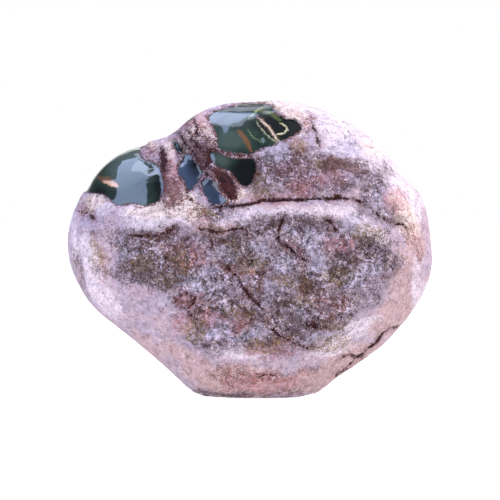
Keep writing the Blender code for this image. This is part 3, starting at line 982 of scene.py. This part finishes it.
def stroke_group() -> Tree:
    """The group that draws one bent, pointed stroke between two places."""
    sockets = (
        ("Place", "Vector"),
        ("Start", "Vector"),
        ("End", "Vector"),
        ("Bend", "Float"),
        ("Width", "Float"),
        ("Soft", "Float"),
    )
    tree, graph, given, end = group_tree("stroke", sockets, (("Mask", "Float"),))
    chord = graph.vector("SUBTRACT", given["End"], given["Start"])
    gap = graph.vector("SUBTRACT", given["Place"], given["Start"])
    length = graph.vector("LENGTH", chord, output=1)
    square = graph.math("MULTIPLY", length, length)
    along = graph.math("DIVIDE", graph.vector("DOT_PRODUCT", gap, chord, output=1), square)
    swept = graph.vector("CROSS_PRODUCT", chord, gap)
    aside = graph.math("DIVIDE", graph.part(swept, "Z"), length)
    arch = graph.math("MULTIPLY", along, graph.math("SUBTRACT", 1.0, along))
    arch = graph.math("MAXIMUM", graph.math("MULTIPLY", arch, 4.0), 0.0)
    bent = graph.math("MULTIPLY", arch, given["Bend"])
    off = graph.math("ABSOLUTE", graph.math("SUBTRACT", aside, bent))
    half = graph.math("MULTIPLY", given["Width"], 0.5)
    half = graph.math("MULTIPLY", half, graph.math("SQRT", arch))
    inner = graph.math("SUBTRACT", half, off)
    low = graph.math("MULTIPLY", given["Soft"], -1.0)
    drawn = graph.step(low, given["Soft"], inner)
    there = graph.math("GREATER_THAN", arch, 0.0)
    graph.feed(end.inputs[0], graph.math("MULTIPLY", drawn, there))
    return tree


@dataclass(frozen=True)
class Edge:
    """How a field is turned into a mask.

    The cap is how deep inside the field counts at most. The rest says how many millimetres the
    cloudy and the grainy pattern push the edge about, and how wide the edge fades.
    """

    cap: float
    ragged: float
    grainy: float
    soft: float


@dataclass(frozen=True)
class StainLook:
    """How a kind of stain looks: the two colours that it varies between, and its edge."""

    stain: Stain
    first: Triple
    second: Triple
    edge: Edge
    strength: float
    channel: int


@dataclass(frozen=True)
class Inclusion:
    """A streak of other mineral in the jade, or a chip of rind left on it."""

    start: Place
    end: Place
    bend: float
    width: float
    soft: float
    colour: Colour
    strength: float = 1.0


class Patterns:
    """The random patterns that the parts of the finish share, and the masks of jade and dirt."""

    def __init__(self, graph: Graph) -> None:
        """Adds the patterns to a graph."""
        self.graph = graph
        self.edges = stain_group()
        inside = graph.node("ShaderNodeTexCoord").outputs["Object"]
        self.place = graph.vector("MULTIPLY", inside, (1.0 / MM,) * 3)
        self.clouds = self.channels(3.4, 5.0, 0.66) + self.channels(3.0, 5.0, 0.66, (57, 23, 91))
        self.broad = self.channels(10.0, 3.0, 0.55)
        self.fine = self.channels(0.85, 3.0, 0.62)
        self.grains = [graph.step(0.3, 0.7, channel) for channel in self.fine]
        self.jade = self.mask("jade", Edge(6.0, 3.0, 0.8, 0.3), self.clouds[2])
        self.dirt = self.mask("dirt", Edge(5.0, 18.0, 3.0, 4.0), self.clouds[3])
        self.lively = graph.step(0.42, 0.58, graph.blend(0.5, self.clouds[4], self.broad[1]))

    def moved(self, shift: Triple) -> Socket:
        """The place, shifted, so that a pattern doesn't repeat another."""
        return self.graph.vector("ADD", self.place, shift)

    def channels(
        self, size: float, detail: float, rough: float, shift: Triple = (0, 0, 0)
    ) -> list[Socket]:
        """Three independent cloudy patterns of one size.

        Args:
            size: The size of the lumps in millimetres.
            detail: How many finer layers lie over them.
            rough: How strong those layers are.
            shift: How far the pattern is moved.

        Returns:
            The three patterns.
        """
        made = self.graph.noise(self.moved(shift), size, detail, rough)
        return self.graph.three(made.outputs["Color"])

    def mask(
        self, name: str, edge: Edge, clouds: Socket, grain: int = 0, wider: float = 0.0
    ) -> Socket:
        """The mask of one of the skin's fields.

        Args:
            name: The field's name.
            edge: How its edge looks.
            clouds: The pattern that makes the edge ragged.
            grain: Which of the grainy patterns is used.
            wider: How many millimetres wider than the field the mask is.

        Returns:
            The mask, from 0 outside to 1 inside.
        """
        return self.graph.group(
            self.edges,
            Field=self.graph.math("ADD", self.graph.attribute(name), wider),
            Cap=edge.cap,
            Ragged=edge.ragged,
            Grainy=edge.grainy,
            Soft=edge.soft,
            Clouds=clouds,
            Grains=self.grains[grain],
        ).outputs["Mask"]


@dataclass(frozen=True)
class StoneFinish:
    """The stone's finish: granular rind with stains, cracks, painted highlights and painted shade,
    and polished jade windows with painted sheen and reflection.
    """

    rind_cool: Colour = tone(175, 159, 180)
    rind_warm: Colour = tone(185, 161, 175)
    grain_dark: Colour = tone(76, 54, 58)
    clump_size: float = 5.0
    grit_size: float = 3.0
    warm_tint: Colour = (1.0, 0.86, 0.68, 1.0)
    cool_tint: Colour = (0.93, 0.89, 1.0, 1.0)
    vein_colour: Colour = tone(70, 48, 48)
    crack_colour: Colour = tone(54, 26, 30)
    halo_colour: Colour = tone(112, 66, 56)
    rim_colour: Colour = tone(84, 44, 40)
    jade_colour: Colour = tone(40, 58, 50)
    jade_deep: Colour = tone(24, 37, 35)
    # Milky jade, and the painted sheen in the dark and top windows
    jade_milk_and_sheen: Colour = tone(60, 74, 68)
    # Painted reflection of the blue softbox, in the middle and low windows
    jade_slate_reflection: Colour = tone(54, 66, 90)
    jade_ink: Colour = tone(8, 14, 17)
    rind_ior: float = 1.24  # low, so that the rind hardly shines
    rind_roughness: float = 0.74
    hollow_roughness: float = 0.88
    jade_ior: float = 1.62
    jade_roughness: float = 0.06
    grounds: tuple[StainLook, ...] = (
        StainLook(Stain.SALMON, (198, 167, 172), (187, 152, 147), Edge(6, 12, 3, 2.6), 0.75, 0),
        # Pale rind, and the painted highlight along the shoulder and the rims
        StainLook(Stain.PALE_AND_HIGHLIGHT, (229, 215, 227), (215, 199, 214), Edge(3, 12, 3, 2), 0.85, 1),
        StainLook(Stain.DIRT, (164, 148, 170), (144, 124, 140), Edge(5, 16, 3.5, 4), 0.85, 3),
        StainLook(Stain.CREAM, (236, 218, 214), (216, 188, 178), Edge(3.4, 9, 5, 1.2), 0.88, 2),
    )
    stains: tuple[StainLook, ...] = (
        StainLook(Stain.ASH, (188, 178, 204), (166, 158, 178), Edge(1.8, 13, 4, 1.2), 0.8, 4),
        StainLook(Stain.PINK, (182, 132, 144), (158, 106, 114), Edge(1, 13, 6, 1.2), 0.72, 5),
        StainLook(Stain.OCHRE, (150, 122, 76), (114, 96, 62), Edge(0.5, 11, 6, 1.2), 0.75, 3),
        StainLook(Stain.RUST, (136, 78, 56), (98, 54, 42), Edge(-0.3, 11, 6, 1.2), 0.75, 4),
        # Dark stains, and the painted shade along the hollow's top lip and in its small left
        # hollow
        StainLook(Stain.DARK, (88, 66, 62), (56, 40, 42), Edge(0.2, 12, 5, 1.5), 0.75, 5),
        # Brown stains; the brown trail along the foot is painted shade
        StainLook(Stain.BROWN, (122, 88, 90), (84, 54, 56), Edge(4, 9, 5, 1.4), 0.78, 1),
        StainLook(Stain.MAROON, (68, 28, 34), (32, 10, 16), Edge(6, 5, 2, 0.5), 1.0, 0),
    )
    minerals: tuple[tuple[float, Colour], ...] = (
        (0.0, tone(44, 28, 30)),
        (0.14, tone(94, 68, 64)),
        (0.3, tone(140, 116, 120)),
        (0.5, tone(172, 154, 170)),
        (0.7, tone(194, 182, 202)),
        (0.86, tone(216, 208, 228)),
        (1.0, tone(242, 234, 238)),
    )
    inclusions: tuple[Inclusion, ...] = (
        Inclusion((-6.8, 147.4), (1.2, 135.0), 0.6, 2.6, 0.6, tone(128, 84, 50), 0.75),
        Inclusion((3.2, 155.2), (16.8, 139.2), 0.9, 2.6, 0.5, tone(88, 62, 46), 0.7),
        Inclusion((4.2, 154.2), (16.0, 140.0), 1.0, 1.25, 0.3, tone(206, 186, 168)),
        Inclusion((3.4, 153.0), (15.4, 140.2), -1.6, 0.6, 0.2, tone(196, 196, 160), 0.8),
        Inclusion((16.6, 150.8), (20.4, 148.6), 0.4, 0.8, 0.2, tone(196, 190, 150)),
        Inclusion((20.4, 149.2), (17.4, 145.2), 0.9, 1.0, 0.2, tone(208, 202, 166)),
        Inclusion((18.6, 145.8), (14.4, 145.2), 0.5, 1.1, 0.2, tone(208, 202, 166)),
        Inclusion((-1.0, 153.4), (8.4, 160.6), 0.5, 0.6, 0.25, tone(150, 164, 96), 0.8),
        Inclusion((4.0, 158.0), (17.0, 151.6), 1.6, 2.4, 0.9, tone(104, 118, 64), 0.6),
        Inclusion((-1.4, 147.6), (7.4, 140.0), -1.0, 0.5, 0.2, tone(150, 166, 120), 0.6),
        Inclusion((6.0, 142.6), (7.8, 139.8), 0.2, 2.0, 0.5, tone(120, 146, 152), 0.6),
        Inclusion((-83.5, 121.5), (-71.5, 116.6), 0.4, 4.4, 0.5, tone(110, 78, 60), 0.8),
        Inclusion((-80.5, 119.6), (-72.0, 116.2), 0.4, 2.6, 0.4, tone(216, 170, 144)),
    )

    def material(self) -> bpy.types.Material:
        """Builds the finish.

        Returns:
            The stone's material.
        """
        material = bpy.data.materials.new("jade_and_rind")
        material.use_nodes = True
        surface = material.node_tree.nodes["Principled BSDF"]
        graph = Graph(material.node_tree)
        kit = Patterns(graph)
        rind = graph.mix(graph.step(0.35, 0.65, kit.broad[0]), self.rind_cool, self.rind_warm)
        rind = self.stained(kit, rind, self.grounds)
        rind = self.mineral(kit, rind)
        rind = self.stained(kit, rind, self.stains)
        rind = self.grained(kit, rind)
        for name, shade, wider, edge, strength in (
            ("jade", self.rim_colour, 0.8, Edge(6.0, 8.0, 2.4, 0.4), 0.85),
            ("crack", self.halo_colour, 0.7, Edge(6.0, 8.0, 3.0, 0.6), 0.55),
            ("crack", self.crack_colour, 0.0, Edge(6.0, 6.0, 0.8, 0.25), 0.95),
        ):
            cut = kit.mask(name, edge, kit.clouds[0], 1, wider)
            rind = graph.mix(graph.math("MULTIPLY", cut, strength), rind, shade)
        graph.feed(surface.inputs["Base Color"], graph.mix(kit.jade, rind, self.jade_body(kit)))
        dull = graph.blend(kit.dirt, self.rind_roughness, self.hollow_roughness)
        dull = graph.math("ADD", dull, graph.span(-0.12, 0.12, kit.fine[0]))
        graph.feed(surface.inputs["Roughness"], graph.blend(kit.jade, dull, 0.4))
        surface.inputs["IOR"].default_value = self.rind_ior
        surface.inputs["Coat IOR"].default_value = self.jade_ior
        surface.inputs["Coat Roughness"].default_value = self.jade_roughness
        graph.feed(surface.inputs["Coat Weight"], kit.jade)
        bump = graph.node("ShaderNodeBump")
        graph.feed(bump.inputs["Height"], self.roughened(kit, cut))
        bump.inputs["Distance"].default_value = MM
        graph.feed(surface.inputs["Normal"], bump.outputs["Normal"])
        return material

    def roughened(self, kit: Patterns, cut: Socket) -> Socket:
        """The height of the rind's grain and cracks, for the bump."""
        graph = kit.graph
        height = graph.math("MULTIPLY", kit.fine[1], graph.blend(kit.dirt, 0.5, 1.0))
        for pattern, on_rind, in_dirt in ((kit.clouds[0], 0.3, 1.2), (kit.grains[2], 0.12, 0.4)):
            lift = graph.math("MULTIPLY", pattern, graph.blend(kit.dirt, on_rind, in_dirt))
            height = graph.math("ADD", height, lift)
        height = graph.math("SUBTRACT", height, graph.math("MULTIPLY", cut, 0.5))
        return graph.math("MULTIPLY", height, graph.math("SUBTRACT", 1.0, kit.jade))

    def stained(self, kit: Patterns, colour: Socket, looks: tuple[StainLook, ...]) -> Socket:
        """A colour with some kinds of stain, and of painted highlight and shade, laid over it."""
        graph = kit.graph
        for look in looks:
            clouds = kit.clouds[look.channel]
            mask = kit.mask(look.stain.value, look.edge, clouds, look.channel % 3)
            varied = graph.step(0.38, 0.62, kit.clouds[5 - look.channel])
            shade = graph.mix(varied, tone(*look.first), tone(*look.second))
            colour = graph.mix(graph.math("MULTIPLY", mask, look.strength), colour, shade)
        return colour

    def mineral(self, kit: Patterns, colour: Socket) -> Socket:
        """Lays the crooked clumps of minerals over a colour, from dark ones to pale ones."""
        graph = kit.graph
        ramp = graph.node("ShaderNodeValToRGB")
        ramp.color_ramp.elements[0].color = self.minerals[0][1]
        ramp.color_ramp.elements.remove(ramp.color_ramp.elements[1])
        for position, shade in self.minerals[1:]:
            ramp.color_ramp.elements.new(position).color = shade
        clumps = graph.noise(kit.place, self.clump_size, 5.0, 1.0)
        graph.feed(ramp.inputs[0], graph.step(0.4, 0.6, clumps.outputs["Fac"]))
        tint = graph.mix(graph.step(0.47, 0.6, kit.clouds[5]), self.cool_tint, self.warm_tint)
        tinted = graph.mix(1.0, ramp.outputs[0], tint, blend="MULTIPLY")
        by_place = graph.blend(kit.lively, 0.35, 1.0)
        shown = graph.math("MULTIPLY", by_place, graph.blend(kit.dirt, 0.15, 0.85))
        return graph.mix(shown, colour, tinted)

    def grained(self, kit: Patterns, colour: Socket) -> Socket:
        """Adds a fine mottle, thin veins and dark flecks."""
        graph = kit.graph
        grit = graph.noise(kit.moved((-41, 17, 29)), self.grit_size, 4.0, 1.0).outputs["Fac"]
        by_place = graph.blend(kit.lively, 0.5, 1.25)
        depth = graph.math("MULTIPLY", graph.blend(kit.dirt, 0.24, 0.62), by_place)
        swing = graph.span(-1.0, 1.0, graph.step(0.38, 0.62, grit))
        gain = graph.math("ADD", 1.0, graph.math("MULTIPLY", swing, depth))
        colour = graph.mix(1.0, colour, gain, blend="MULTIPLY")
        patchy = graph.step(0.42, 0.6, kit.clouds[1])
        veins = vein_group()
        for size, width, on_rind, in_dirt in (
            (9.0, 0.018, 0.45, 0.85),
            (3.6, 0.026, 0.5, 0.75),
            (1.9, 0.03, 0.45, 0.5),
        ):
            net = graph.group(veins, Place=kit.place, Size=size, Width=width).outputs["Mask"]
            shown = graph.math("MULTIPLY", net, patchy)
            shown = graph.math("MULTIPLY", shown, graph.blend(kit.dirt, on_rind, in_dirt))
            colour = graph.mix(shown, colour, self.vein_colour)
        thin = graph.blend(kit.dirt, 0.3, 0.4)
        cover = graph.blend(patchy, thin, graph.blend(kit.dirt, 0.56, 0.76))
        place = kit.moved((13, 26, -13))
        flecks = graph.group(fleck_group(), Place=place, Size=1.5, Cover=cover, Soft=0.05)
        shown = graph.math("MULTIPLY", flecks.outputs["Mask"], graph.blend(kit.dirt, 0.5, 0.75))
        return graph.mix(shown, colour, self.grain_dark)

    def jade_body(self, kit: Patterns) -> Socket:
        """The polished jade's colour, with its clouds, dark depths and inclusions, a painted sheen
        in the dark and top windows and a painted reflection in the middle and low windows.
        """
        graph = kit.graph
        colour = graph.mix(graph.step(0.3, 0.7, kit.broad[2]), self.jade_colour, self.jade_deep)
        # The milky patches carry a painted sheen in the dark and top windows, and the slate
        # patches are a painted reflection of the blue softbox.
        for name, shade, soft in (
            ("milk_and_sheen", self.jade_milk_and_sheen, 3.0),
            ("slate_reflection", self.jade_slate_reflection, 2.4),
            ("ink", self.jade_ink, 4.5),
        ):
            mask = kit.mask(name, Edge(6.0, 8.0, 0.0, soft), kit.broad[0])
            colour = graph.mix(mask, colour, shade)
        place = graph.attribute("seen", "Vector")
        for pattern, reach in ((kit.clouds, 3.2), (kit.fine, 2.2)):
            sway = graph.vector("SUBTRACT", graph.join(pattern), (0.5, 0.5, 0.5))
            place = graph.vector("ADD", place, graph.vector("MULTIPLY", sway, (reach, reach, 0.0)))
        stroke = stroke_group()
        worn = graph.step(0.2, 0.56, kit.fine[0])
        for streak in self.inclusions:
            drawn = graph.group(
                stroke,
                Place=place,
                Start=(*streak.start, 0.0),
                End=(*streak.end, 0.0),
                Bend=streak.bend,
                Width=streak.width,
                Soft=streak.soft,
            ).outputs["Mask"]
            shade = graph.mix(1.0, worn, streak.colour, blend="MULTIPLY")
            colour = graph.mix(graph.math("MULTIPLY", drawn, streak.strength), colour, shade)
        return colour


@dataclass(frozen=True)
class Softbox:
    """A rectangular studio light that looks at the stone.

    The azimuth is 0 in front of the stone and grows to the right, and the radiance is how
    bright its face looks, where a white surface in the picture is 1.
    """

    name: str
    azimuth: float
    elevation: float
    distance: float
    width: float
    height: float
    radiance: float
    colour: Triple
    roll: float = 0.0

    def build(self, target: Vector) -> bpy.types.Object:
        """Makes the light.

        Args:
            target: The point that it looks at, in metres.

        Returns:
            The light's object.
        """
        turn = math.radians(self.azimuth)
        rise = math.radians(self.elevation)
        flat = math.cos(rise)
        away = Vector((math.sin(turn) * flat, -math.cos(turn) * flat, math.sin(rise)))
        lamp = bpy.data.lights.new(self.name, "AREA")
        lamp.shape = "RECTANGLE"
        lamp.size = self.width
        lamp.size_y = self.height
        lamp.color = self.colour
        lamp.energy = self.radiance * math.pi * self.width * self.height
        light = bpy.data.objects.new(self.name, lamp)
        light.location = target + away * self.distance
        rolled = Quaternion((0.0, 0.0, 1.0), math.radians(self.roll))
        light.rotation_euler = (away.to_track_quat("Z", "Y") @ rolled).to_euler()
        light.visible_camera = False
        bpy.context.collection.objects.link(light)
        return light


@dataclass
class Studio:
    """The pale floor, the soft lights, the white surroundings and the camera."""

    floor_reach: float = 1.6
    floor_glow: float = 0.9
    front_glow: float = 0.05
    back_glow: float = 1.15
    picture_width: float = 273.97  # how much of the stone's middle plane the picture shows
    target_height: float = 77.0
    sensor_width: float = 36.0
    softboxes: tuple[Softbox, ...] = (
        Softbox("left_softbox", -90.0, 57.0, 1.0, 1.26, 0.56, 4.3, (0.5, 0.63, 1.0), -34.0),
        Softbox("top_softbox", -130.0, 72.0, 1.0, 0.32, 0.3, 2.5, (0.78, 0.8, 1.0)),
        Softbox("crown_softbox", -168.0, 54.0, 1.0, 0.3, 0.3, 1.8, (0.78, 0.8, 1.0)),
        Softbox("right_softbox", 98.0, 52.0, 1.1, 0.6, 0.7, 11.0, (1.0, 0.96, 1.0)),
        Softbox("back_softbox", 148.0, 42.0, 1.2, 0.8, 0.6, 6.0, (0.97, 0.97, 1.0)),
        Softbox("left_key", -66.0, 14.0, 1.2, 0.7, 0.6, 3.8, (0.94, 0.95, 1.0)),
        Softbox("right_key", 66.0, 20.0, 1.2, 0.7, 0.7, 2.2, (1.0, 0.97, 0.98)),
        Softbox("left_fill", -30.0, 4.0, 1.3, 0.9, 0.6, 2.65, (1.0, 0.98, 0.98)),
        Softbox("right_fill", 30.0, 4.0, 1.3, 0.9, 0.6, 2.65, (1.0, 0.98, 0.98)),
    )

    def build(self) -> None:
        """Makes everything round the stone."""
        self.floor()
        self.surroundings()
        target = Vector((0.0, 0.0, self.target_height * MM))
        for softbox in self.softboxes:
            softbox.build(target)
        self.camera(target)
        bpy.context.scene.view_settings.view_transform = "Standard"

    def floor(self) -> None:
        """A pale floor that glows a little, as a lit table does."""
        bpy.ops.object.select_all(action="DESELECT")
        bpy.ops.mesh.primitive_circle_add(vertices=96, radius=self.floor_reach, fill_type="NGON")
        floor = bpy.context.object
        floor.name = "floor"
        material = bpy.data.materials.new("pale_floor")
        material.use_nodes = True
        surface = material.node_tree.nodes["Principled BSDF"]
        surface.inputs["Base Color"].default_value = (0.35, 0.35, 0.35, 1.0)
        surface.inputs["Roughness"].default_value = 0.9
        surface.inputs["Emission Color"].default_value = (1.0, 1.0, 1.0, 1.0)
        surface.inputs["Emission Strength"].default_value = self.floor_glow
        floor.data.materials.append(material)

    def surroundings(self) -> None:
        """White behind the stone, and dim where the camera stands, as in a studio."""
        world = bpy.data.worlds.new("studio")
        bpy.context.scene.world = world
        world.use_nodes = True
        graph = Graph(world.node_tree)
        direction = graph.node("ShaderNodeTexCoord").outputs["Generated"]
        share = graph.step(0.8, 0.98, graph.part(direction, "Y"))
        glow = graph.blend(share, self.front_glow, self.back_glow)
        seen = graph.node("ShaderNodeLightPath").outputs["Is Camera Ray"]
        background = world.node_tree.nodes["Background"]
        graph.feed(background.inputs["Strength"], graph.blend(seen, glow, 1.0))
        graph.feed(background.inputs["Color"], (1.0, 1.0, 1.0, 1.0))

    def camera(self, target: Vector) -> None:
        """The camera, where the photograph was taken from."""
        lens = bpy.data.cameras.new("camera")
        camera = bpy.data.objects.new("camera", lens)
        bpy.context.collection.objects.link(camera)
        camera.location = EYE * MM
        away = camera.location - target
        camera.rotation_euler = away.to_track_quat("Z", "Y").to_euler()
        lens.sensor_width = self.sensor_width
        lens.lens = self.sensor_width * away.length / (self.picture_width * MM)
        bpy.context.scene.camera = camera


def main() -> None:
    """Builds the stone and its studio, and reports each piece."""
    logging.basicConfig(level=logging.INFO, format="%(name)s: %(message)s")
    stone = Boulder().build()
    triangles = sum(len(face.vertices) - 2 for face in stone.data.polygons)
    log.info("%s: %d triangles", stone.name, triangles)
    Studio().build()
    log.info("studio: floor, lights and camera")


if __name__ == "__main__":
    main()
